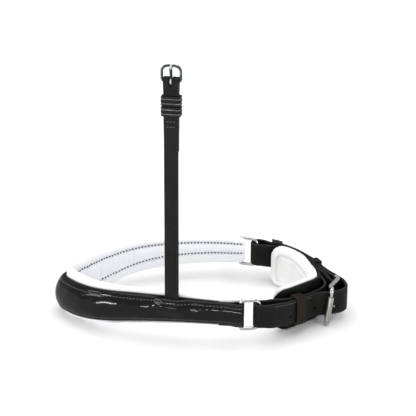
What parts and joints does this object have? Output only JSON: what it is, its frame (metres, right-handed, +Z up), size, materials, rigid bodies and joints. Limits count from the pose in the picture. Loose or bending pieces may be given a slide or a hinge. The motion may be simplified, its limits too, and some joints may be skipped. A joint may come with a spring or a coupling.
{
  "type": "cavesson_noseband",
  "caption": "Padded leather cavesson noseband with a raised patent nosepiece, dee rings, a doubled chin strap with a roller buckle, a jaw pad and one cheek strap",
  "frame": {"origin": "the middle of the bounding box, on the surface that the noseband rests on", "axes": "-X towards the horse's nose, +X towards the chin, +Z up through the standing loop, -Y the near side with the cheek strap"},
  "size_m": [0.2518, 0.1434, 0.2394],
  "materials": {
    "black_leather": "satin",
    "patent_leather": "gloss",
    "brown_leather": "satin",
    "core_leather": "matte",
    "white_lining": "satin",
    "foam": "matte",
    "bright_steel": "polished",
    "dark_steel": "polished"
  },
  "bodies": {
    "noseband": {"nose_lining": "white_lining", "nose_foam": "foam", "nose_backing": "black_leather", "nose_raised_core": "core_leather", "nose_patent_cover": "patent_leather", "near_ring_chape": "black_leather", "far_ring_chape": "black_leather", "chin_strap": "black_leather", "far_keeper_middle": "black_leather", "far_keeper_end": "black_leather", "jaw_pad_lining": "white_lining", "jaw_pad_foam": "foam", "jaw_pad_backing": "black_leather", "cheek_strap": "black_leather", "cheek_keeper_fixed": "black_leather"},
    "near_ring": {"near_dee_ring": "bright_steel"},
    "far_ring": {"far_dee_ring": "bright_steel"},
    "chin_frame": {"chin_buckle_frame": "bright_steel"},
    "chin_tongue": {"chin_buckle_tongue": "bright_steel"},
    "chin_roller": {"chin_buckle_roller": "bright_steel"},
    "cheek_frame": {"cheek_buckle_frame": "dark_steel"},
    "cheek_tongue": {"cheek_buckle_tongue": "dark_steel"},
    "cheek_runner": {"cheek_keeper_runner": "black_leather"},
    "near_runner": {"near_keeper": "brown_leather"}
  },
  "joints": [
    {"name": "near_ring_swing", "type": "hinge", "parent": "noseband", "child": "near_ring", "pos_m": [0.03284, -0.06419, 0.0273], "axis": [0, 0, 1], "range_deg": [-4, 4]},
    {"name": "far_ring_swing", "type": "hinge", "parent": "noseband", "child": "far_ring", "pos_m": [0.03524, 0.06446, 0.0273], "axis": [0, 0, 1], "range_deg": [-6, 6]},
    {"name": "chin_frame_swing", "type": "hinge", "parent": "noseband", "child": "chin_frame", "pos_m": [0.11565, -0.00292, 0.01693], "axis": [0, 0, 1], "range_deg": [-1, 1.5]},
    {"name": "chin_tongue_lift", "type": "hinge", "parent": "chin_frame", "child": "chin_tongue", "pos_m": [0.11565, -0.00292, 0.01693], "axis": [0, 0, 1], "range_deg": [0, 2]},
    {"name": "chin_roller_turn", "type": "hinge", "parent": "chin_frame", "child": "chin_roller", "pos_m": [0.10876, -0.03163, 0.0157], "axis": [0.125, 0.0331, 0.9916], "continuous": true},
    {"name": "cheek_frame_swing", "type": "hinge", "parent": "noseband", "child": "cheek_frame", "pos_m": [-0.02226, -0.05715, 0.2258], "axis": [-0.9801, 0.1985, 0], "range_deg": [-25, 25]},
    {"name": "cheek_tongue_lift", "type": "hinge", "parent": "cheek_frame", "child": "cheek_tongue", "pos_m": [-0.02226, -0.05715, 0.2258], "axis": [-0.9801, 0.1985, 0], "range_deg": [-20, 0]},
    {"name": "cheek_runner_slide", "type": "slide", "parent": "noseband", "child": "cheek_runner", "axis": [0, 0, 1], "range_m": [-0.045, 0.0008]},
    {"name": "near_keeper_slide", "type": "slide", "parent": "noseband", "child": "near_runner", "axis": [0.7193, 0.6782, -0.1506], "range_m": [-0.001, 0.005]}
  ]
}
